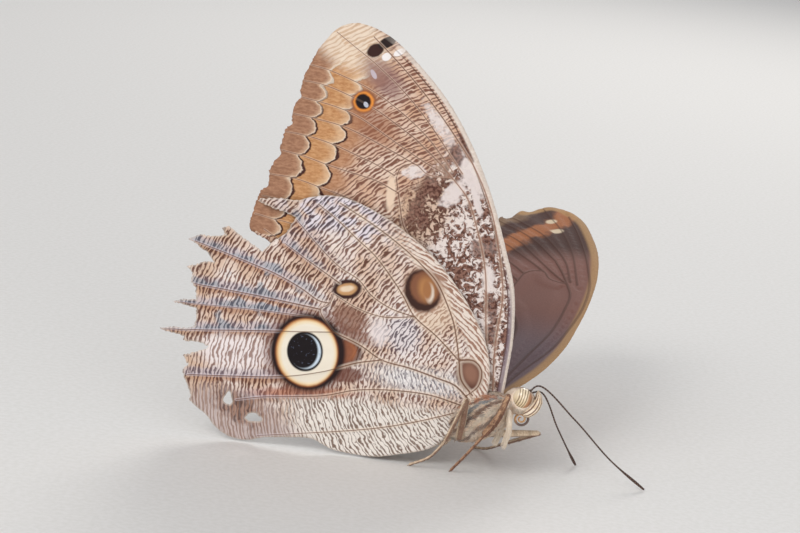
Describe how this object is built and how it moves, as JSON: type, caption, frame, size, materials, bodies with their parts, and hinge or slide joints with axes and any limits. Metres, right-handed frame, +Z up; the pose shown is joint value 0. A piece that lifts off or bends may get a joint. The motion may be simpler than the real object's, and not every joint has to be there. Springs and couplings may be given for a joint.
{
  "type": "owl butterfly model",
  "caption": "Still, life-size owl butterfly at rest: right wings closed upright, left wings half open, standing on its feet, tail and hindwing edges.",
  "frame": {"origin": "centre of the bounding box at floor level", "axes": "+X ahead, the way the head points; +Z up; the right wings face -Y"},
  "size_m": [0.1008, 0.0838, 0.0868],
  "materials": {
    "fur": "short matt fur",
    "abdomen_fur": "short matt fur",
    "eye": "smooth, striped",
    "tongue": "satin",
    "horn": "satin",
    "leg": "scaled, matt",
    "wing": "matt scales in a pattern"
  },
  "bodies": {
    "root": {"thorax": "fur", "abdomen": "abdomen_fur", "head": "fur", "eye_right": "eye", "eye_left": "eye", "palp_right": "fur", "palp_left": "fur", "proboscis": "tongue", "antenna_right": "horn", "antenna_left": "horn", "foreleg_right": "fur", "foreleg_left": "fur", "midleg_right": "leg", "midleg_left": "leg", "hindleg_right": "leg", "hindleg_left": "leg", "forewing_right": "wing", "forewing_left": "wing", "hindwing_right": "wing", "hindwing_left": "wing"}
  },
  "joints": []
}
